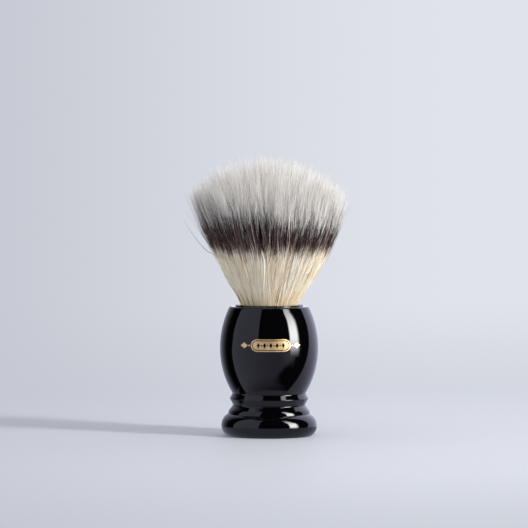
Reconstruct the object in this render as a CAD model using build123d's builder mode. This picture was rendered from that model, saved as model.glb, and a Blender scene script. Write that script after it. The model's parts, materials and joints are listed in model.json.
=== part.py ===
"""Shaving brush: turned resin handle, gilt inlay, and a bound knot of fibres in a cup.

Millimetres, +Z up. The origin is the centre of the flat foot face, and the emblem faces -Y.
"""

import math
import os

from build123d import *

# ---------------------------------------------------------------- driving dimensions

# Handle, from the floor up
base_radius = 16.3  # flat face that the brush stands on
foot_radius = 18.3
foot_middle = 3.95  # height of the foot's widest place
shoulder_radius = 15.68
shoulder_bottom = 8.3
shoulder_top_radius = 15.2
shoulder_top = 9.9
lower_crease_radius = 13.8
lower_crease = 11.65
bead_radius = 15.1
bead_middle = 14.2
upper_crease_radius = 14.0
upper_crease = 16.1
belly_radius = 18.8
belly_middle = 33.4
mouth_radius = 15.1
handle_height = 49.2

base_edge_round = 0.3
crease_round = 0.5
bead_round = 0.25
mouth_round = 0.9

# Socket in the handle, and the cup glued into it
socket_radius = 12.1
socket_depth = 15.0
glue_gap = 0.2  # around the cup
glue_top_below_mouth = 1.2
cup_outer_radius = socket_radius - glue_gap
cup_wall = 1.0
cup_floor = 1.0
cup_length = 14.0  # below the flange
flange_radius = 12.9
flange_thickness = 0.6
flange_round = 0.15

# Knot: roots, the cord wound round them and the epoxy plug
root_clearance = 0.1  # between the fibres and the cup's wall at the mouth
root_radius = 10.15  # where the cord holds the bundle
root_floor = 1.0  # epoxy below the fibre ends
plug_top_above_cup_floor = 6.8
cord_radius = 0.24
cord_pitch = 0.56
cord_turns = 6
cord_above_plug = 0.6

# Free fibres
loft = 56.3  # from the mouth to the top of the crown
tuft_radius = 29.5
tuft_middle = 40.7  # height of the widest place above the mouth
tuft_bulge_radius = 21.4  # the side is a slight outward bow through this place
tuft_bulge_height = 20.1
dome_fullness = 0.46  # 0.55 would make the dome an ellipse
bend_limit = 18.0  # degrees, each way, at each bend
bend_clearance = 1.5  # degrees kept open beyond the limit
waist_above_mouth = 13.0  # second bend
waist_top_above_mouth = 30.0
crown_travel = 7.0  # how far the crown gives when pressed
zone_gap = 0.2

# Gilt inlay on the belly
inlay_depth = 0.15
emblem_height = 35.2  # of its centre line
plaque_length = 15.0
plaque_width = 4.7
border_width = 0.42
groove_width = 0.3
lozenge_count = 5
lozenge_pitch = 2.35
lozenge_length = 1.15
lozenge_height = 2.1
dot_radius = 0.27
accent_reach = 9.9  # centre of each side lozenge
accent_length = 2.6
accent_height = 2.2
accent_dot_reach = 8.1
accent_dot_radius = 0.3

# ---------------------------------------------------------------- derived places

mouth = handle_height + flange_thickness
cup_bottom = handle_height - cup_length
cup_inner_floor = cup_bottom + cup_floor
cup_inner_radius = cup_outer_radius - cup_wall
socket_floor = handle_height - socket_depth
plug_top = cup_inner_floor + plug_top_above_cup_floor
root_bottom = cup_inner_floor + root_floor
bundle_radius = cup_inner_radius - root_clearance
cord_bottom = plug_top + cord_above_plug
cord_top = cord_bottom + cord_turns * cord_pitch
waist = mouth + waist_above_mouth
waist_top = mouth + waist_top_above_mouth
bend_slope = math.tan(math.radians(bend_limit + bend_clearance))

os.makedirs("parts", exist_ok=True)

# ---------------------------------------------------------------- gilt inlay

# A thin skin of the belly: everything inlaid is cut from it, so it lies flush.
with BuildPart() as belly_skin:
    with BuildSketch(Plane.XZ):
        with BuildLine():
            lower = TangentArc(
                (belly_radius, belly_middle),
                (upper_crease_radius, upper_crease),
                tangent=(0, -1),
            )
            upper = TangentArc(
                (belly_radius, belly_middle), (mouth_radius, handle_height), tangent=(0, 1)
            )
            Line(upper @ 1, upper @ 1 - (inlay_depth, 0))
            Line(lower @ 1, lower @ 1 - (inlay_depth, 0))
            TangentArc(
                (belly_radius - inlay_depth, belly_middle),
                lower @ 1 - (inlay_depth, 0),
                tangent=(0, -1),
            )
            TangentArc(
                (belly_radius - inlay_depth, belly_middle),
                upper @ 1 - (inlay_depth, 0),
                tangent=(0, 1),
            )
        make_face()
    revolve(axis=Axis.Z)

emblem_plane = Plane(
    origin=(0, -belly_radius - 1, emblem_height), x_dir=(1, 0, 0), z_dir=(0, -1, 0)
)
field_inset = border_width + groove_width


def lozenge(length, height):
    """Add an upright diamond, as wide as length, to the open sketch."""
    Polygon((-length / 2, 0), (0, -height / 2), (length / 2, 0), (0, height / 2))


with BuildPart() as emblem_border:
    with BuildSketch(emblem_plane):
        SlotOverall(plaque_length, plaque_width)
        SlotOverall(
            plaque_length - 2 * border_width,
            plaque_width - 2 * border_width,
            mode=Mode.SUBTRACT,
        )
    extrude(amount=-belly_radius)
    add(belly_skin.part, mode=Mode.INTERSECT)
emblem_border.part.label = "emblem_border"
export_step(emblem_border.part, "parts/emblem_border.step")

with BuildPart() as emblem_field:
    with BuildSketch(emblem_plane):
        SlotOverall(plaque_length - 2 * field_inset, plaque_width - 2 * field_inset)
        with BuildSketch(mode=Mode.SUBTRACT):
            with GridLocations(lozenge_pitch, 0, lozenge_count, 1):
                lozenge(lozenge_length, lozenge_height)
            with GridLocations(lozenge_pitch, 0, lozenge_count - 1, 1):
                Circle(dot_radius)
    extrude(amount=-belly_radius)
    add(belly_skin.part, mode=Mode.INTERSECT)
emblem_field.part.label = "emblem_field"
export_step(emblem_field.part, "parts/emblem_field.step")

with BuildPart() as emblem_accents:
    with BuildSketch(emblem_plane):
        with GridLocations(2 * accent_reach, 0, 2, 1):
            lozenge(accent_length, accent_height)
        with GridLocations(2 * accent_dot_reach, 0, 2, 1):
            Circle(accent_dot_radius)
    extrude(amount=-belly_radius)
    add(belly_skin.part, mode=Mode.INTERSECT)
emblem_accents.part.label = "emblem_accents"
export_step(emblem_accents.part, "parts/emblem_accents.step")

# ---------------------------------------------------------------- handle

with BuildPart() as handle_body:
    with BuildSketch(Plane.XZ) as profile:
        with BuildLine():
            foot_lower = TangentArc(
                (foot_radius, foot_middle), (base_radius, 0), tangent=(0, -1)
            )
            foot_upper = TangentArc(
                (foot_radius, foot_middle), (shoulder_radius, shoulder_bottom), tangent=(0, 1)
            )
            shoulder = TangentArc(
                foot_upper @ 1, (shoulder_top_radius, shoulder_top), tangent=(0, 1)
            )
            neck_and_bead = Polyline(
                shoulder @ 1,
                (lower_crease_radius, lower_crease),
                (bead_radius, bead_middle),
                (upper_crease_radius, upper_crease),
            )
            TangentArc(
                (belly_radius, belly_middle), neck_and_bead @ 1, tangent=(0, -1)
            )
            belly_upper = TangentArc(
                (belly_radius, belly_middle), (mouth_radius, handle_height), tangent=(0, 1)
            )
            Polyline(belly_upper @ 1, (0, handle_height), (0, 0), foot_lower @ 1)
        make_face()
        creases = [
            v
            for v in profile.vertices()
            if abs(v.Y - lower_crease) < 0.01 or abs(v.Y - upper_crease) < 0.01
        ]
        fillet(creases, crease_round)
        fillet([v for v in profile.vertices() if abs(v.Y - bead_middle) < 0.01], bead_round)
        edge_of_mouth = profile.vertices().group_by(Axis.Y)[-1].sort_by(Axis.X)[-1]
        fillet(edge_of_mouth, mouth_round)
        edge_of_base = profile.vertices().group_by(Axis.Y)[0].sort_by(Axis.X)[-1]
        fillet(edge_of_base, base_edge_round)
    revolve(axis=Axis.Z)
    with Locations((0, 0, handle_height)):
        Hole(socket_radius, depth=socket_depth)
    add(emblem_border.part, mode=Mode.SUBTRACT)
    add(emblem_field.part, mode=Mode.SUBTRACT)
    add(emblem_accents.part, mode=Mode.SUBTRACT)
handle_body.part.label = "handle_body"
export_step(handle_body.part, "parts/handle_body.step")

# ---------------------------------------------------------------- cup and its adhesive

with BuildPart() as knot_cup:
    with BuildSketch(Plane.XZ) as cup_profile:
        with BuildLine():
            Polyline(
                (0, cup_bottom),
                (cup_outer_radius, cup_bottom),
                (cup_outer_radius, handle_height),
                (flange_radius, handle_height),
                (flange_radius, mouth),
                (cup_inner_radius, mouth),
                (cup_inner_radius, cup_inner_floor),
                (0, cup_inner_floor),
                close=True,
            )
        make_face()
        fillet(cup_profile.vertices().group_by(Axis.Y)[-1], flange_round)
    revolve(axis=Axis.Z)
knot_cup.part.label = "knot_cup"
export_step(knot_cup.part, "parts/knot_cup.step")

with BuildPart() as socket_adhesive:
    with BuildSketch(Plane.XY.offset(socket_floor)):
        Circle(socket_radius)
    extrude(amount=socket_depth - glue_top_below_mouth)
    with BuildSketch(Plane.XY.offset(cup_bottom)):
        Circle(cup_outer_radius)
    extrude(amount=cup_length, mode=Mode.SUBTRACT)
socket_adhesive.part.label = "socket_adhesive"
export_step(socket_adhesive.part, "parts/socket_adhesive.step")

# ---------------------------------------------------------------- bound end of the knot

with BuildPart() as bristle_roots:
    with BuildSketch(Plane.XZ):
        with BuildLine():
            Polyline(
                (0, root_bottom),
                (root_radius, root_bottom),
                (root_radius, cord_top + cord_radius),
                (bundle_radius, mouth),
                (0, mouth),
                close=True,
            )
        make_face()
    revolve(axis=Axis.Z)
bristle_roots.part.label = "bristle_roots"
export_step(bristle_roots.part, "parts/bristle_roots.step")

with BuildPart() as root_plug:
    with BuildSketch(Plane.XY.offset(cup_inner_floor)):
        Circle(cup_inner_radius)
    extrude(amount=plug_top - cup_inner_floor)
    with BuildSketch(Plane.XY.offset(root_bottom)):
        Circle(root_radius)
    extrude(amount=plug_top - root_bottom, mode=Mode.SUBTRACT)
root_plug.part.label = "root_plug"
export_step(root_plug.part, "parts/root_plug.step")

with BuildPart() as binding_cord:
    with BuildLine() as winding:
        Helix(
            pitch=cord_pitch,
            height=cord_turns * cord_pitch,
            radius=root_radius + cord_radius + 0.02,
            center=(0, 0, cord_bottom),
        )
    with BuildSketch(Plane(origin=winding.line @ 0, z_dir=winding.line % 0)):
        Circle(cord_radius)
    sweep(is_frenet=True)
binding_cord.part.label = "binding_cord"
export_step(binding_cord.part, "parts/binding_cord.step")

# ---------------------------------------------------------------- free fibres

with BuildPart() as tuft_form:
    with BuildSketch(Plane.XZ):
        with BuildLine():
            side = ThreePointArc(
                (bundle_radius, mouth),
                (tuft_bulge_radius, mouth + tuft_bulge_height),
                (tuft_radius, mouth + tuft_middle),
            )
            dome = Bezier(
                side @ 1,
                (tuft_radius, mouth + tuft_middle + dome_fullness * (loft - tuft_middle)),
                (dome_fullness * tuft_radius, mouth + loft),
                (0, mouth + loft),
            )
            Polyline(dome @ 1, (0, mouth), side @ 0)
        make_face()
    revolve(axis=Axis.Z)


def between_cones(bottom, bottom_slope, top, top_slope):
    """Return the space between two cones about the Z axis.

    Each cone starts at its height on the axis and rises by its slope per millimetre of
    radius, which leaves the wedge of space that a zone of fibres needs when it tilts.
    """
    reach = tuft_radius + 1
    with BuildPart() as space:
        with BuildSketch(Plane.XZ):
            with BuildLine():
                Polyline(
                    (0, bottom),
                    (reach, bottom + reach * bottom_slope),
                    (reach, top + reach * top_slope),
                    (0, top),
                    close=True,
                )
            make_face()
        revolve(axis=Axis.Z)
    return space.part


with BuildPart() as bristle_neck:
    add(tuft_form.part)
    add(
        between_cones(mouth + zone_gap, bend_slope, waist - zone_gap, 0),
        mode=Mode.INTERSECT,
    )
bristle_neck.part.label = "bristle_neck"
export_step(bristle_neck.part, "parts/bristle_neck.step")

with BuildPart() as bristle_waist:
    add(tuft_form.part)
    add(
        between_cones(waist + zone_gap, bend_slope, waist_top, 0),
        mode=Mode.INTERSECT,
    )
bristle_waist.part.label = "bristle_waist"
export_step(bristle_waist.part, "parts/bristle_waist.step")

with BuildPart() as bristle_crown:
    add(tuft_form.part)
    add(
        between_cones(waist_top + crown_travel + zone_gap, 0, mouth + loft + 1, 0),
        mode=Mode.INTERSECT,
    )
bristle_crown.part.label = "bristle_crown"
export_step(bristle_crown.part, "parts/bristle_crown.step")
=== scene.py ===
"""Looks of the shaving brush: fibres, resin, gilt, and a pale studio round it."""

import json
import math

import bpy
import numpy as np
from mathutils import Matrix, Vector


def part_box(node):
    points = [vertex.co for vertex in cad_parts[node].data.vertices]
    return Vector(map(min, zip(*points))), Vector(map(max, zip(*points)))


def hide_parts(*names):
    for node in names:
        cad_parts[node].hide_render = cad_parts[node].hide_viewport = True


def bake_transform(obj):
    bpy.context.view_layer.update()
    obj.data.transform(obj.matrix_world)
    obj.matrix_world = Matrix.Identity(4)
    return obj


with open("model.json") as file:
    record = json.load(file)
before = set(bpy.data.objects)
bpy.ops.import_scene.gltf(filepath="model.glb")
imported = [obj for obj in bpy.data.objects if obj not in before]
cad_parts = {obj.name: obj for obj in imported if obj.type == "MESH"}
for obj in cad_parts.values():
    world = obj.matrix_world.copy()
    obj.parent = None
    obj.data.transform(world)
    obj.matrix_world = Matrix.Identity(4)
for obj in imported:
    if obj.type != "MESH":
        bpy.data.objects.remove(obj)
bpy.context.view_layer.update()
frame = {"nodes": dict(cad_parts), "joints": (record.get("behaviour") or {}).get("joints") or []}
nodes = frame["nodes"]

MM = 0.001
SEED = 7

# ------------------------------------------------------------------ places, from the frame

joints = {joint["name"]: joint for joint in frame["joints"]}
mouth_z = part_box("knot_cup")[1].z
bundle_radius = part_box("bristle_roots")[1].x
tuft_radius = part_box("bristle_crown")[1].x
tuft_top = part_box("bristle_crown")[1].z
waist_z = joints["bend_front_back"]["pos_m"][2]
crown_low_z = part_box("bristle_waist")[1].z
loft = tuft_top - mouth_z
widest = 0.722 * loft  # height above the mouth where the tuft is widest


# ------------------------------------------------------------------ node helpers


class Graph:
    """A node tree with short calls for the nodes that the materials are made of."""

    def __init__(self, tree):
        self.tree = tree
        tree.nodes.clear()

    def node(self, kind, inputs=None, **settings):
        made = self.tree.nodes.new(kind)
        for name, value in settings.items():
            setattr(made, name, value)
        for name, value in (inputs or {}).items():
            self.feed(made.inputs[name], value)
        return made

    def feed(self, socket, value):
        if isinstance(value, bpy.types.NodeSocket):
            self.tree.links.new(value, socket)
        elif isinstance(value, tuple) and len(value) == 3 and socket.type == "RGBA":
            socket.default_value = (*value, 1)
        else:
            socket.default_value = value

    def math(self, operation, *values):
        made = self.tree.nodes.new("ShaderNodeMath")
        made.operation = operation
        for socket, value in zip(made.inputs, values):
            self.feed(socket, value)
        return made.outputs[0]

    def ramp(self, value, low, high, out_low=0.0, out_high=1.0):
        """Smooth step from out_low to out_high while value goes from low to high."""
        made = self.node(
            "ShaderNodeMapRange",
            {
                "Value": value,
                "From Min": low,
                "From Max": high,
                "To Min": out_low,
                "To Max": out_high,
            },
            interpolation_type="SMOOTHSTEP",
        )
        return made.outputs["Result"]

    def mix(self, factor, first, second, blend="MIX"):
        made = self.tree.nodes.new("ShaderNodeMix")
        made.data_type = "RGBA"
        made.blend_type = blend
        self.feed(made.inputs["Factor"], factor)
        self.feed(made.inputs[6], first)
        self.feed(made.inputs[7], second)
        return made.outputs[2]


def material(name):
    """A new material and the graph of its nodes, with a Principled shader wired to the output."""
    made = bpy.data.materials.new(name)
    made.use_nodes = True
    graph = Graph(made.node_tree)
    shader = graph.node("ShaderNodeBsdfPrincipled")
    output = graph.node("ShaderNodeOutputMaterial")
    graph.tree.links.new(shader.outputs["BSDF"], output.inputs["Surface"])
    return made, graph, shader


def shade(node, made):
    """Gives a carried-over CAD node its material."""
    slots = nodes[node].data.materials
    slots.clear()
    slots.append(made)


# ------------------------------------------------------------------ hard materials


def black_resin():
    made, graph, shader = material("polished_black_resin")
    place = graph.node("ShaderNodeTexCoord").outputs["Object"]
    haze = graph.node("ShaderNodeTexNoise", {"Vector": place, "Scale": 90.0, "Detail": 4.0})
    graph.feed(shader.inputs["Base Color"], (0.0010, 0.0010, 0.0014))
    graph.feed(shader.inputs["Roughness"], graph.ramp(haze.outputs["Fac"], 0.3, 0.8, 0.025, 0.06))
    graph.feed(shader.inputs["IOR"], 1.52)
    return made


def cup_plastic():
    made, graph, shader = material("black_cup_plastic")
    place = graph.node("ShaderNodeTexCoord").outputs["Object"]
    grain = graph.node("ShaderNodeTexNoise", {"Vector": place, "Scale": 900.0, "Detail": 3.0})
    graph.feed(shader.inputs["Base Color"], (0.012, 0.012, 0.014))
    graph.feed(shader.inputs["Roughness"], graph.ramp(grain.outputs["Fac"], 0.3, 0.7, 0.16, 0.3))
    return made


def gilt():
    made, graph, shader = material("gilt")
    place = graph.node("ShaderNodeTexCoord").outputs["Object"]
    stretch = graph.node("ShaderNodeMapping", {"Vector": place, "Scale": (1.0, 1.0, 0.12)})
    brushed = graph.node(
        "ShaderNodeTexNoise", {"Vector": stretch.outputs["Vector"], "Scale": 5200.0, "Detail": 3.0}
    )
    patches = graph.node("ShaderNodeTexNoise", {"Vector": place, "Scale": 420.0, "Detail": 3.0})
    colour = graph.mix(
        graph.ramp(patches.outputs["Fac"], 0.35, 0.7), (0.86, 0.62, 0.33), (0.70, 0.47, 0.22)
    )
    graph.feed(shader.inputs["Base Color"], colour)
    graph.feed(shader.inputs["Metallic"], 0.8)
    graph.feed(shader.inputs["Roughness"], graph.ramp(brushed.outputs["Fac"], 0.3, 0.7, 0.32, 0.5))
    bump = graph.node(
        "ShaderNodeBump", {"Height": brushed.outputs["Fac"], "Strength": 0.12, "Distance": 0.00005}
    )
    graph.feed(shader.inputs["Normal"], bump.outputs["Normal"])
    return made


def cured_glue(name, colour):
    made, graph, shader = material(name)
    place = graph.node("ShaderNodeTexCoord").outputs["Object"]
    cloud = graph.node("ShaderNodeTexNoise", {"Vector": place, "Scale": 300.0, "Detail": 4.0})
    deeper = tuple(0.7 * channel for channel in colour)
    graph.feed(shader.inputs["Base Color"], graph.mix(cloud.outputs["Fac"], colour, deeper))
    graph.feed(shader.inputs["Roughness"], 0.25)
    return made


def cotton_cord():
    made, graph, shader = material("cotton_cord")
    place = graph.node("ShaderNodeTexCoord").outputs["Object"]
    ply = graph.node(
        "ShaderNodeTexWave",
        {"Vector": place, "Scale": 900.0, "Distortion": 2.0},
        bands_direction="DIAGONAL",
    )
    colour = graph.mix(ply.outputs["Fac"], (0.55, 0.5, 0.42), (0.75, 0.71, 0.62))
    graph.feed(shader.inputs["Base Color"], colour)
    graph.feed(shader.inputs["Roughness"], 0.9)
    return made


# ------------------------------------------------------------------ fibre material

FAMILIES = 256  # fibres that share one pattern of colour
V_LENGTH = 64 * MM  # a fibre's length from the mouth that fills the V axis
DARK_FAMILIES = 4  # the last families are dark from end to end
PALE_FAMILIES = 24  # and the ones before them have no dark band
BANDED_FAMILIES = FAMILIES - DARK_FAMILIES - PALE_FAMILIES


def fibre_material():
    """Colour from the UV map: U is the fibre's family, V the distance from the mouth."""
    made, graph, shader = material("banded_fibre")
    uv = graph.node("ShaderNodeUVMap", uv_map="OFBake").outputs["UV"]
    axes = graph.node("ShaderNodeSeparateXYZ", {"Vector": uv})
    family = graph.math("FLOOR", graph.math("MULTIPLY", axes.outputs["X"], float(FAMILIES)))
    along = graph.math("MULTIPLY", axes.outputs["Y"], V_LENGTH / MM)

    def chance(shift):
        """A random value of the family from 0 to 1; another shift gives another value."""
        seed = graph.math("ADD", family, shift)
        noise = graph.node("ShaderNodeTexWhiteNoise", {"W": seed}, noise_dimensions="1D")
        return noise.outputs["Value"]

    def spread(shift, low, high):
        """A random value of the family from low to high."""
        return graph.math("MULTIPLY_ADD", chance(shift), high - low, low)

    def from_edge(edge):
        """Millimetres past an edge of the dark band, towards the tip."""
        return graph.math("SUBTRACT", along, edge)

    streak = graph.math("POWER", chance(0.31), 6.0)
    hollow = graph.math("POWER", chance(0.37), 3.5)
    band_low = spread(0.17, 23.8, 26.8)
    band_high = graph.math("MULTIPLY_ADD", streak, 9.0, spread(0.53, 35.0, 37.0))
    band_high = graph.math("MULTIPLY_ADD", hollow, -5.0, band_high)
    ochre_share = graph.math("POWER", chance(0.71), 3.0)
    cream = graph.mix(ochre_share, (0.955, 0.925, 0.825), (0.78, 0.58, 0.32))
    foot = graph.mix(chance(0.83), (0.98, 0.90, 0.73), (0.84, 0.68, 0.42))
    shade_share = graph.math("POWER", chance(0.47), 3.0)
    white = graph.mix(shade_share, (0.95, 0.93, 0.895), (0.15, 0.125, 0.112))
    light_share = graph.math("POWER", chance(0.91), 2.4)
    dark = graph.mix(light_share, (0.018, 0.010, 0.013), (0.36, 0.25, 0.225))
    tan = graph.mix(chance(0.13), (0.16, 0.10, 0.07), (0.36, 0.26, 0.17))

    lower = graph.mix(graph.ramp(along, 0.5, 10.0), foot, cream)
    brown = graph.mix(graph.ramp(from_edge(band_low), -2.6, 0.3), lower, tan)
    banded = graph.mix(graph.ramp(from_edge(band_low), -0.6, 1.2), brown, dark)
    colour = graph.mix(graph.ramp(from_edge(band_high), -0.9, 0.6), banded, white)
    plain = graph.mix(graph.ramp(along, 14.0, 34.0), lower, white)
    is_pale = graph.math("GREATER_THAN", family, BANDED_FAMILIES - 0.5)
    is_dark = graph.math("GREATER_THAN", family, FAMILIES - DARK_FAMILIES - 0.5)
    colour = graph.mix(is_pale, colour, plain)
    graph.feed(shader.inputs["Base Color"], graph.mix(is_dark, colour, (0.045, 0.032, 0.028)))
    graph.feed(shader.inputs["Roughness"], 0.6)
    graph.feed(shader.inputs["Specular IOR Level"], 0.05)
    return made


# ------------------------------------------------------------------ fibres

SIDES = 3  # sides of each fibre's tube
ROOT_DEPTH = 1.5 * MM  # fibres start this far inside the cup
CUT_LOW = waist_z + 0.1 * MM - mouth_z  # where the neck fibres end and the waist fibres begin
CUT_HIGH = crown_low_z + 0.3 * MM - mouth_z
PIECE_FACES = 88000  # faces along the tubes of one piece, at most
BOW = 1.5 * MM  # how far the fan's side curves outward halfway up
TO_RIGHT = 0.8 * MM  # how far the middle of the fan stands towards +X
DOME_POWER = 1.7  # 2 would be an ellipse
HALVINGS = 30  # steps in the search for the height of a tip
BATCH = 500  # fibres whose nearest lock is looked for at one time

draw = np.random.default_rng(SEED)


def side_radius(height):
    """Outer radius of the fan at a height above the mouth: a slight outward bow."""
    share = height / widest
    straight = bundle_radius + (1.01 * tuft_radius - bundle_radius) * share
    return straight + BOW * np.sin(math.pi * np.clip(share, 0, 1) ** 1.2)


def dome_height(radius):
    """Height of the crown's surface above the mouth at a radius."""
    share = np.clip(radius / tuft_radius, 0, 1)
    return widest + (loft - widest) * (1 - share**DOME_POWER) ** (1 / DOME_POWER)


def tip_height(reach):
    """Height at which a fibre with this share of the root radius meets the dome."""
    low = np.full_like(reach, 0.4 * loft)
    high = np.full_like(reach, loft)
    for _ in range(HALVINGS):
        middle = (low + high) / 2
        inside = middle < dome_height(reach * side_radius(middle))
        low = np.where(inside, middle, low)
        high = np.where(inside, high, middle)
    return low


def fan(reach, angle, height):
    """Place of a fibre at a height: it leaves the bundle and spreads with the fan."""
    radius = reach * side_radius(height)
    return np.stack([radius * np.cos(angle), radius * np.sin(angle)], -1)


def disc_points(count, inner, outer):
    """Random root places in a ring, as shares of the bundle's radius."""
    reach = np.sqrt(draw.uniform(inner**2, outer**2, count))
    return reach, draw.uniform(-math.pi, math.pi, count)


def smooth(value, low, high):
    """Smooth step of value from low to high."""
    share = np.clip((value - low) / (high - low), 0, 1)
    return share * share * (3 - 2 * share)


def nearest_lock(reach, angle, locks):
    """The lock that each fibre belongs to, and the locks' own root places."""
    lock_reach, lock_angle = disc_points(locks, 0, 1.0)
    roots = np.stack([reach * np.cos(angle), reach * np.sin(angle)], -1)
    centres = np.stack([lock_reach * np.cos(lock_angle), lock_reach * np.sin(lock_angle)], -1)
    nearest = np.empty(len(reach), int)
    for start in range(0, len(reach), BATCH):
        gap = roots[start : start + BATCH, None] - centres[None]
        nearest[start : start + BATCH] = (gap**2).sum(-1).argmin(1)
    return nearest, lock_reach[nearest], lock_angle[nearest]


def waves(count, size):
    """Random sideways waves for a number of strands: amplitude, phase and turns per loft."""
    amplitude = draw.normal(0, size, (count, 2))
    phase = draw.uniform(0, 2 * math.pi, (count, 2))
    turns = draw.uniform(1.2, 3.2, count)
    return amplitude, phase, turns


def sway(height, strand, amplitude, phase, turns):
    """Offset in x and y that the waves give each fibre at its heights."""
    turn = (height / loft * 2 * math.pi * turns[strand][:, None])[..., None] + phase[strand][:, None]
    swing = np.sin(turn) - np.sin(phase[strand])[:, None]
    return amplitude[strand][:, None] * swing * smooth(height, 1 * MM, 14 * MM)[..., None]


LOCKS = (
    # how many, least and most pull on their fibres, lean at the top, size of waves
    (160, 0.0, 0.2, 0.3 * MM, 0.10 * MM),
    (1100, 0.0, 0.4, 0.8 * MM, 0.30 * MM),
    (6400, 0.5, 1.0, 0.9 * MM, 0.45 * MM),
)


def strand_paths(reach, angle, height, wander):
    """Centre lines of fibres as an array of fibre by point by xyz, and their locks.

    height gives each fibre's heights above the mouth. Fibres gather in locks of three
    sizes, each by its own amount, and part again towards their tips. Every lock and every
    fibre leans and waves on its own. The locks come as one array for each size.
    """
    count = len(reach)
    rise = np.clip(height / loft, 0, 1) ** 1.3
    gather = smooth(height, 8 * MM, 40 * MM) - 0.75 * smooth(height, 36 * MM, loft)
    place = fan(reach[:, None], angle[:, None], height)
    stray = draw.normal(0, wander, (count, 2))[:, None] * rise[..., None]
    stray += sway(height, np.arange(count), *waves(count, 0.25 * MM))
    members = []
    for locks, least, most, lean, wave in LOCKS:
        nearest, lock_reach, lock_angle = nearest_lock(reach, angle, locks)
        members.append(nearest)
        middle = fan(lock_reach[:, None], lock_angle[:, None], height)
        pull = draw.uniform(least, most, locks)[nearest] * draw.uniform(0.5, 1.2, count)
        place += (middle - place) * (pull[:, None] * gather)[..., None]
        stray += draw.normal(0, lean, (locks, 2))[nearest][:, None] * rise[..., None]
        stray += sway(height, nearest, *waves(locks, wave))
    outward = place / (np.linalg.norm(place, axis=-1, keepdims=True) + 1e-9)
    beyond = np.maximum((stray * outward).sum(-1, keepdims=True), 0)
    place += stray - 0.55 * beyond * outward * reach[:, None, None]
    place[..., 0] += TO_RIGHT * np.sin(math.pi * np.clip(height / widest, 0, 1))
    return np.concatenate([place, (mouth_z + height)[..., None]], -1), members


def thickness(height, tip):
    """Share of the full radius: fibres taper over a little more than their last third."""
    left = (tip - height) / (0.38 * tip)
    return 0.11 + 0.89 * np.clip(left, 0, 1) ** 0.8


def tube_rings(paths, radius):
    """Corner points of a thin tube round each path: fibre by point by side by xyz.

    Every tube is turned by its own angle, so that their flat sides face all ways.
    """
    tangent = np.gradient(paths, axis=1)
    tangent /= np.linalg.norm(tangent, axis=-1, keepdims=True)
    outward = paths * (1, 1, 0)
    outward /= np.linalg.norm(outward, axis=-1, keepdims=True) + 1e-9
    across = np.cross(tangent, outward)
    across /= np.linalg.norm(across, axis=-1, keepdims=True) + 1e-9
    normal = np.cross(across, tangent)
    turn = np.arange(SIDES) * 2 * math.pi / SIDES + draw.uniform(0, 2 * math.pi, (len(paths), 1, 1))
    offset = np.cos(turn)[..., None] * normal[:, :, None]
    offset = offset + np.sin(turn)[..., None] * across[:, :, None]
    return paths[:, :, None] + offset * radius[:, :, None, None]


def fibre_mesh(name, rings, distance, family, made):
    """One mesh from a run of tube rings, with U the family and V the distance along.

    Each tube is closed by a flat face of all its sides at either end.
    """
    count, points = rings.shape[:2]
    vertices = rings.reshape(-1, 3)
    fibre = np.arange(count)[:, None, None]
    point = np.arange(points - 1)[None, :, None]
    side = np.arange(SIDES)[None, None, :]
    after = (side + 1) % SIDES
    base = (fibre * points + point) * SIDES
    quads = np.stack(
        [base + side, base + after, base + SIDES + after, base + SIDES + side], -1
    ).reshape(-1, 4)
    around = np.arange(SIDES)
    first = np.arange(count)[:, None] * points * SIDES
    ends = np.concatenate([first + around[::-1], first + (points - 1) * SIDES + around])
    starts = np.concatenate([4 * np.arange(len(quads)), quads.size + SIDES * np.arange(len(ends))])
    mesh = bpy.data.meshes.new(name)
    mesh.vertices.add(len(vertices))
    mesh.vertices.foreach_set("co", vertices.astype(np.float32).ravel())
    mesh.loops.add(quads.size + ends.size)
    indices = np.concatenate([quads.ravel(), ends.ravel()])
    mesh.loops.foreach_set("vertex_index", indices.astype(np.int32))
    mesh.polygons.add(len(starts))
    mesh.polygons.foreach_set("loop_start", starts.astype(np.int32))
    mesh.polygons.foreach_set("use_smooth", np.zeros(len(starts), bool))
    mesh.update(calc_edges=True)

    column = 1 / FAMILIES
    left = family[:, None, None] * column + column * (0.1 + 0.8 * side / SIDES)
    right = left + column * 0.8 / SIDES
    left = np.broadcast_to(left, (count, points - 1, SIDES))
    right = np.broadcast_to(right, (count, points - 1, SIDES))
    share = np.clip(distance / V_LENGTH, 0.0, 0.999)
    low = np.broadcast_to(share[:, :-1, None], left.shape)
    high = np.broadcast_to(share[:, 1:, None], left.shape)
    corners = np.stack(
        [
            np.stack([left, low], -1),
            np.stack([right, low], -1),
            np.stack([right, high], -1),
            np.stack([left, high], -1),
        ],
        -2,
    )
    across = column * (family[:, None] + 0.1 + 0.8 * around / SIDES)
    nudge = 0.002 * around  # keeps some area in the end faces' map
    low_end = np.stack([across[:, ::-1], share[:, :1] + nudge], -1)
    high_end = np.stack([across, share[:, -1:] - nudge], -1)
    everywhere = [corners.reshape(-1, 2), low_end.reshape(-1, 2), high_end.reshape(-1, 2)]
    layer = mesh.uv_layers.new(name="OFBake")
    layer.uv.foreach_set("vector", np.concatenate(everywhere).astype(np.float32).ravel())
    mesh.materials.append(made)
    piece = bpy.data.objects.new(name, mesh)
    bpy.context.scene.collection.objects.link(piece)
    return piece


ZONES = {
    # zone: bodies it joins, where it starts and stops turning, CAD solid it stands for
    "neck": ("handle", "fibre_neck", 0.4 * MM, CUT_LOW - 0.3 * MM, "bristle_neck"),
    "waist": ("fibre_neck", "fibre_waist", CUT_LOW + 0.2 * MM, CUT_HIGH - 0.3 * MM, "bristle_waist"),
    "crown": ("fibre_waist", "fibre_crown", CUT_HIGH + 0.3 * MM, loft - 4 * MM, "bristle_crown"),
}


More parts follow.
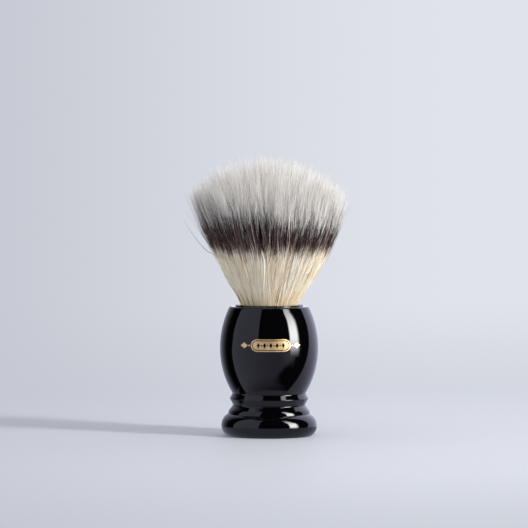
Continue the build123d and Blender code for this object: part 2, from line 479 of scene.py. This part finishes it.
def heights(tips, steps):
    """Heights of the rings of each fibre: even steps in each zone, the last up to the tip."""
    stops = [-ROOT_DEPTH, CUT_LOW, CUT_HIGH][: len(steps)]
    runs = []
    for index, (low, parts) in enumerate(zip(stops, steps)):
        high = tips[:, None] if index == len(steps) - 1 else np.full((len(tips), 1), stops[index + 1])
        run = low + (high - low) * np.linspace(0, 1, parts + 1)[None]
        runs.append(run if index == 0 else run[:, 1:])
    return np.concatenate(runs, 1)


def banded_families(count):
    """Random families that have a dark band."""
    return draw.integers(0, BANDED_FAMILIES, count)


def colour_distance(distance, reach, angle, missing, locks, tufts):
    """The distances along each fibre that its colours go by, in place of the true ones.

    The band is wider towards -X and the front, most of all in a clump left of the front's
    middle, and fibres sit higher or lower in the knot. missing is how far each tip is below
    the dome.
    """
    stretch = 0.16 * np.cos(angle) + 0.08 * np.sin(angle)
    for middle, width, change in ((-0.9, 0.35, 0.05), (-1.85, 0.2, -0.14)):
        stretch += change * np.exp(-(((angle - middle) / width) ** 2))
    slide = draw.normal(0, 0.3 * MM, len(reach)) + draw.normal(0, 0.6 * MM, tufts.max() + 1)[tufts]
    slide += draw.normal(0, 0.9 * MM, locks.max() + 1)[locks]
    slide += -0.5 * MM * np.cos(angle) + np.minimum(7 * (1 - reach), 3) * MM + 0.4 * missing
    distance = distance + stretch[:, None] * np.maximum(distance - 25 * MM, 0)
    return distance + slide[:, None]


def grow(label, reach, angle, tips, steps, family, made, radius, wander=0.8 * MM, lift=None):
    """Makes the fibres of one kind, cut where the zones meet.

    steps gives the number of rings in the neck, the waist and the crown; a kind with fewer
    numbers ends in an earlier zone. lift gives each fibre's height above the mouth where it
    leaves the tuft, how far its tip stands off, and the power that shapes the way there.
    """
    count = len(reach)
    levels = heights(tips, steps)
    paths, (_, locks, tufts) = strand_paths(reach, angle, levels, wander)
    if lift:
        leave, stand, power = lift
        share = np.clip((levels - leave[:, None]) / (tips - leave)[:, None], 0, 1)
        outward = paths * (1, 1, 0) / np.linalg.norm(paths[..., :2], axis=-1, keepdims=True)
        paths = paths + outward * (stand[:, None] * share**power)[..., None]
    by_tuft = (draw.random(count) < 0.8) & (family < BANDED_FAMILIES)
    family = np.where(by_tuft, banded_families(tufts.max() + 1)[tufts], family)
    widths = radius * thickness(levels, tips[:, None]) * draw.uniform(0.75, 1.25, (count, 1))
    rings = tube_rings(paths, np.broadcast_to(widths, levels.shape))
    length = np.linalg.norm(np.diff(paths, axis=1), axis=-1)
    distance = np.concatenate([np.zeros((count, 1)), np.cumsum(length, 1)], 1) - ROOT_DEPTH
    missing = tip_height(np.minimum(reach, 0.999)) - tips if len(steps) == len(ZONES) else 0
    distance = colour_distance(distance, reach, angle, missing, locks, tufts)
    stops = np.cumsum([0, *steps])
    for zone, first, last in zip(ZONES, stops, stops[1:]):
        low_body, high_body, start, end, stand_for = ZONES[zone]
        per_piece = PIECE_FACES // ((last - first) * SIDES)
        for part, begin in enumerate(range(0, count, per_piece)):
            chosen = slice(begin, begin + per_piece)
            piece = fibre_mesh(
                f"{zone}_fibres_{label}_{part + 1}",
                rings[chosen, first : last + 1],
                distance[chosen, first : last + 1],
                family[chosen],
                made,
            )
            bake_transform(piece)
            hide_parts(stand_for)


def families(angle):
    """A family for each fibre: mostly banded ones, a few pale ones and a rare dark one."""
    count = len(angle)
    pale = draw.integers(BANDED_FAMILIES, FAMILIES - DARK_FAMILIES, count)
    dark = draw.integers(FAMILIES - DARK_FAMILIES, FAMILIES, count)
    kind = draw.random(count)
    banded = kind < 0.968 - 0.02 * np.cos(angle)
    return np.where(banded, banded_families(count), np.where(kind < 0.995, pale, dark))


def tips_for(reach, angle):
    """Tip heights: the dome, with short fibres below it and a few that stand proud."""
    count = len(reach)
    surface = tip_height(np.minimum(reach, 0.999))
    short = draw.exponential(2.2 * MM, count)
    short += np.where(draw.random(count) < 0.3, draw.uniform(0, 9 * MM, count), 0) * reach**4
    proud = draw.normal(0, 0.9 * MM, count)
    tilt = -0.03 * fan(reach, angle, surface)[:, 0]
    return np.maximum(surface - short + proud + tilt + 0.6 * MM, CUT_HIGH + 2 * MM)


def make_fibres():
    """The bulk of the fibres in two layers, then the few that stand off or are dark."""
    made = fibre_material()
    outer = 10000
    reach, angle = disc_points(outer, 0.84, 1.0)
    grow("outer", reach, angle, tips_for(reach, angle), (4, 4, 7), families(angle), made, 0.055 * MM)
    inner = 11000
    reach, angle = disc_points(inner, 0.0, 0.86)
    grow("inner", reach, angle, tips_for(reach, angle), (2, 2, 5), families(angle), made, 0.06 * MM)

    # Loose fibres that lie across the others and stand off the tuft a little
    loose = 700
    reach, angle = disc_points(loose, 0.98, 1.0)
    tips = tips_for(reach, angle)
    lift = (draw.uniform(10 * MM, 30 * MM, loose), draw.exponential(0.6 * MM, loose), 1.5)
    grow("loose", reach, angle, tips, (5, 6, 7), families(angle), made, 0.045 * MM, 3.2 * MM, lift)

    def dark_hairs(label, table, steps, radius, power):
        """Dark hairs from rows of azimuth, tip height, height of leaving and distance of the tip."""
        azimuth, tips, leave, stand = np.array(table).T
        dark = np.full(len(table), FAMILIES - 1)
        lift = (leave * MM, stand * MM, power)
        place = (np.full(len(table), 0.99), np.radians(azimuth))
        grow(label, *place, tips * MM, steps, dark, made, radius, 0.2 * MM, lift)

    dark_hairs("hairs", [(180, 32.3, 19.0, 6.2)], (4, 12, 4), 0.12 * MM, 0.4)
    dark_hairs("bent_hair", [(186, 36.5, 21.0, 5.2)], (4, 12, 6), 0.07 * MM, 0.5)
    thin = [
        (174, 37, 26, 3.2),
        (177, 34, 20, 4.2),
        (1, 37, 26, 2.4),
        (-9, 39, 30, 2.8),
        (120, 36, 22, 4),
        (62, 37, 24, 3.4),
    ]
    dark_hairs("thin_hairs", thin, (4, 7, 4), 0.045 * MM, 0.9)
    low = [(181, 24, 2, 2.0), (184, 20, 4, 1.3), (70, 22, 5, 2.0)]
    dark_hairs("low_hairs", low, (6, 5), 0.04 * MM, 1.0)

    # A few broken dark hairs at the mouth of the cup, nearly half of them at the left front
    broken = 16
    in_view = 7
    reach = draw.uniform(0.98, 1.0, broken)
    angle = np.radians(draw.uniform(-180, 180, broken))
    angle[:in_view] = np.radians(draw.uniform(-165, -120, in_view))
    tips = draw.uniform(3.5 * MM, 8 * MM, broken)
    lift = (np.full(broken, 0.5 * MM), np.full(broken, 0.35 * MM), 1.0)
    dark = np.full(broken, FAMILIES - 2)
    grow("broken", reach, angle, tips, (5,), dark, made, 0.07 * MM, 0.5 * MM, lift)


# ------------------------------------------------------------------ studio


def disc(name, reach, drop):
    """A flat round piece of the stage, a little below the foot."""
    turns = 96
    edge = [
        (reach * math.cos(2 * math.pi * i / turns), reach * math.sin(2 * math.pi * i / turns), 0)
        for i in range(turns)
    ]
    mesh = bpy.data.meshes.new(name)
    mesh.from_pydata(edge, [], [tuple(range(turns))])
    made = bpy.data.objects.new(name, mesh)
    bpy.context.scene.collection.objects.link(made)
    made.location.z = -drop
    return made


def send_mix(graph, factor, first, second):
    """Sends a mix of two shaders to the material's output."""
    blend = graph.node("ShaderNodeMixShader", {0: factor, 1: first, 2: second})
    output = next(n for n in graph.tree.nodes if n.type == "OUTPUT_MATERIAL")
    graph.tree.links.new(blend.outputs[0], output.inputs["Surface"])


def make_floor():
    """A wide round floor that fades into the backdrop colour with distance."""
    floor = disc("studio_floor", 3.0, 0.02 * MM)
    made, graph, shader = material("pale_floor")
    graph.feed(shader.inputs["Roughness"], 0.6)
    graph.feed(shader.inputs["Specular IOR Level"], 0.2)
    place = graph.node("ShaderNodeNewGeometry").outputs["Position"]
    axes = graph.node("ShaderNodeSeparateXYZ", {"Vector": place})
    # Painted light: the floor's own colour is darker to the left, where the brush's shadow falls, and
    # lighter to the right, towards the key light
    painted_light_to_right = graph.ramp(axes.outputs["X"], -0.12, 0.06)
    painted_lit_floor_colour = graph.mix(painted_light_to_right, (0.475, 0.49, 0.524), (0.528, 0.545, 0.581))
    graph.feed(shader.inputs["Base Color"], painted_lit_floor_colour)
    distance = graph.node("ShaderNodeVectorMath", {0: place}, operation="LENGTH").outputs["Value"]
    looking = graph.node("ShaderNodeNewGeometry").outputs["Incoming"]
    to_camera = graph.node("ShaderNodeSeparateXYZ", {"Vector": looking}).outputs["X"]
    sideways = graph.math("MULTIPLY", to_camera, -1.0)
    near = graph.mix(graph.ramp(sideways, -0.1, 0.1), BACKDROP_LEFT, FLOOR_RIGHT)
    far = backdrop_colour(graph, sideways)
    glow_colour = graph.mix(graph.ramp(axes.outputs["Y"], -0.35, 1.3), near, far)
    glow = graph.node("ShaderNodeEmission", {"Color": glow_colour, "Strength": 1.0})
    # Painted light: even close to the object 12 per cent of the floor is glow, which lifts the cast
    # shadow; further out the floor turns wholly into the glowing backdrop colour
    fade = graph.ramp(distance, 0.10, 0.36, 0.12, 1.0)
    send_mix(graph, fade, shader.outputs["BSDF"], glow.outputs["Emission"])
    floor.data.materials.append(made)
    floor.visible_glossy = False

    # The polished foot mirrors the floor close to it: a glowing disc that only reflections see paints
    # that reflection; steeper reflections pass through
    near_floor = disc("near_floor", 38 * MM, 0.04 * MM)
    made, graph, _ = material("mirrored_floor")
    place = graph.node("ShaderNodeNewGeometry").outputs["Position"]
    distance = graph.node("ShaderNodeVectorMath", {0: place}, operation="LENGTH").outputs["Value"]
    looking = graph.node("ShaderNodeNewGeometry").outputs["Incoming"]
    height = graph.node("ShaderNodeSeparateXYZ", {"Vector": looking}).outputs["Z"]
    colour = tuple(0.4 * channel for channel in PANEL_TINT)
    glow = graph.node("ShaderNodeEmission", {"Color": colour, "Strength": 1.0})
    clear = graph.node("ShaderNodeBsdfTransparent")
    passing = graph.math("MULTIPLY", graph.ramp(height, 0.45, 0.6), graph.ramp(distance, 0.025, 0.028))
    send_mix(graph, passing, glow.outputs["Emission"], clear.outputs["BSDF"])
    near_floor.data.materials.append(made)
    near_floor.visible_camera = False
    near_floor.visible_diffuse = False
    near_floor.visible_shadow = False


BACKDROP_LEFT = (0.545, 0.565, 0.630)
BACKDROP_RIGHT = (0.745, 0.768, 0.823)
FLOOR_RIGHT = (0.615, 0.64, 0.703)
AMBIENT = (0.84, 0.86, 0.90)
PANEL_TINT = (1.0, 1.01, 1.30)


def backdrop_colour(graph, sideways):
    """Pale wall, a little brighter to the right of the picture."""
    return graph.mix(graph.ramp(sideways, -0.1, 0.1), BACKDROP_LEFT, BACKDROP_RIGHT)


def make_world():
    """Pale room. Only mirror-like reflections see its panels, its dark parts and the floor with the
    brush's painted shadow on it.
    """
    world = bpy.data.worlds.new("studio")
    bpy.context.scene.world = world
    world.use_nodes = True
    graph = Graph(world.node_tree)
    direction = graph.node("ShaderNodeTexCoord").outputs["Generated"]
    axes = graph.node("ShaderNodeSeparateXYZ", {"Vector": direction})
    toward = graph.math("MULTIPLY", axes.outputs["Y"], -1.0)
    azimuth = graph.math("DEGREES", graph.math("ARCTAN2", axes.outputs["X"], toward))
    elevation = graph.math("DEGREES", graph.math("ARCSINE", axes.outputs["Z"]))

    def between(value, rise, fall):
        """1 between two soft edges, each given as (start, end)."""
        return graph.math("MULTIPLY", graph.ramp(value, *rise), graph.ramp(value, *fall, 1.0, 0.0))

    def panel(left, right, bottom, top, power):
        """A soft-edged panel of light; each side is given as (start, end) in degrees."""
        shape = graph.math(
            "MULTIPLY", between(azimuth, left, right), between(elevation, bottom, top)
        )
        return graph.math("MULTIPLY", shape, power)

    def grey(value):
        made = graph.node("ShaderNodeCombineColor", {"Red": value, "Green": value, "Blue": value})
        return made.outputs["Color"]

    # The floor as the polished handle shows it: dimmer to the right and below, and ending
    # at a curved edge that is softer below, with dark beyond it
    edge = graph.math(
        "ADD", graph.ramp(elevation, -42, 10, 21.0, 85.0), graph.ramp(elevation, -50, -44, 16.0, 0.0)
    )
    softness = graph.math(
        "ADD", graph.ramp(elevation, -57, -46, 110.0, 0.0), graph.ramp(elevation, -46, -34, 50.0, 18.0)
    )
    past_edge = graph.math("DIVIDE", graph.math("SUBTRACT", azimuth, edge), softness)
    on_floor = graph.ramp(past_edge, -0.5, 0.5, 1.0, 0.0)
    on_floor = graph.math("MULTIPLY", on_floor, graph.ramp(azimuth, -95, 20, 0.60, 0.33))
    on_floor = graph.math("MULTIPLY", on_floor, graph.ramp(elevation, -64, -34, 0.35, 1.0))
    # Painted shadow: the mirrored floor stops at azimuth -99, and the dark from there to the backdrop
    # on the left stands for the brush's shadow on the floor
    floor = graph.math("MULTIPLY", on_floor, panel((-101, -97), (130, 131), (-91, -90), (-3, 1), 1.0))

    # The backdrop on the right comes round below, brighter above the floor
    right_edge = graph.ramp(elevation, -90, 20, 57.0, 110.0)
    backdrop = graph.ramp(graph.math("SUBTRACT", azimuth, right_edge), -3.0, 2.0)
    backdrop = graph.math("MULTIPLY", backdrop, graph.ramp(elevation, -40, 24, 0.50, 1.30))
    parts = [
        floor,
        graph.math("MULTIPLY", backdrop, graph.ramp(elevation, 70, 85, 1.0, 0.0)),
        panel((-99, -96), (-29, -26.5), (-3, 1), (60, 72), 0.60),  # dim panel on the left
        panel((-182, -181), (-158, -116), (-91, -90), (70, 85), 0.42),  # backdrop on the left
        panel((18, 50), (58, 66), (-26, -10), (-6, 0), 0.30),  # gleam of the softbox on the floor
    ]
    total = 0.002  # the dark room itself
    for part in parts:
        total = graph.math("ADD", total, part)
    mirror = graph.mix(1.0, grey(total), PANEL_TINT, blend="MULTIPLY")

    # Tall softbox on the right: a sharp near edge, a soft far one, narrower and dimmer above
    from_near = graph.math("ADD", azimuth, graph.ramp(elevation, 30, 42, 0.0, 3.5))
    from_far = graph.math("ADD", azimuth, graph.ramp(elevation, 24, 44, 0.0, 9.0))
    box_light = graph.math(
        "MULTIPLY", graph.ramp(from_near, 47, 51), graph.ramp(from_far, 66, 76, 1.0, 0.0)
    )
    box_light = graph.math("MULTIPLY", box_light, between(elevation, (-12, 12), (44, 64)))
    box_light = graph.math("MULTIPLY", box_light, graph.ramp(elevation, 12, 56, 20.0, 5.0))
    mirror = graph.mix(1.0, mirror, grey(box_light), blend="ADD")

    path = graph.node("ShaderNodeLightPath")
    seen = graph.mix(path.outputs["Is Camera Ray"], AMBIENT, backdrop_colour(graph, axes.outputs["X"]))
    seen = graph.mix(path.outputs["Is Glossy Ray"], seen, mirror)
    background = graph.node("ShaderNodeBackground", {"Color": seen, "Strength": 1.0})
    output = graph.node("ShaderNodeOutputWorld")
    graph.tree.links.new(background.outputs["Background"], output.inputs["Surface"])


def area_light(name, azimuth, elevation, distance, width, height, power, colour, target):
    """A soft panel of light; azimuth is to the right of the camera's side of the object."""
    data = bpy.data.lights.new(name, "AREA")
    data.shape = "RECTANGLE"
    data.size = width
    data.size_y = height
    data.energy = power
    data.color = colour
    light = bpy.data.objects.new(name, data)
    a, e = math.radians(azimuth), math.radians(elevation)
    away = Vector((math.sin(a) * math.cos(e), -math.cos(a) * math.cos(e), math.sin(e)))
    light.location = Vector(target) + away * distance
    light.rotation_mode = "QUATERNION"
    light.rotation_quaternion = away.to_track_quat("Z", "Y")
    light.visible_glossy = False
    bpy.context.scene.collection.objects.link(light)
    return light


def make_lights():
    middle = (0, 0, 0.6 * tuft_top)
    area_light("key_softbox", 57, 22, 1.5, 0.16, 1.0, 26.5, (1.0, 0.985, 0.96), middle)


def make_camera():
    """Level with the crown, slightly above the handle, from far enough for a flat view."""
    data = bpy.data.cameras.new("camera")
    data.sensor_width = 36
    data.lens = 215
    camera = bpy.data.objects.new("camera", data)
    bpy.context.scene.collection.objects.link(camera)
    bpy.context.scene.camera = camera
    away, eye_height, turn = 1.2, 0.101, math.radians(-1.75)
    aim = Vector((-2.0 * MM, 0, 65.3 * MM))
    camera.location = aim + Vector((math.sin(turn) * away, -math.cos(turn) * away, eye_height - aim.z))
    camera.rotation_mode = "QUATERNION"
    camera.rotation_quaternion = (camera.location - aim).to_track_quat("Z", "Y")
    data.clip_start = 0.01
    data.clip_end = 20


# ------------------------------------------------------------------ everything together

shade("handle_body", black_resin())
shade("knot_cup", cup_plastic())
gold = gilt()
for part in ("emblem_border", "emblem_field", "emblem_accents"):
    shade(part, gold)
shade("socket_adhesive", cured_glue("cured_adhesive", (0.62, 0.58, 0.48)))
shade("root_plug", cured_glue("cured_epoxy", (0.55, 0.38, 0.16)))
shade("binding_cord", cotton_cord())
shade("bristle_roots", cured_glue("glued_fibre_ends", (0.62, 0.52, 0.34)))
make_fibres()
make_floor()
make_world()
make_lights()
make_camera()
bpy.context.scene.view_settings.view_transform = "Standard"
bpy.context.scene.cycles.diffuse_bounces = 10  # light passes from fibre to fibre inside the tuft
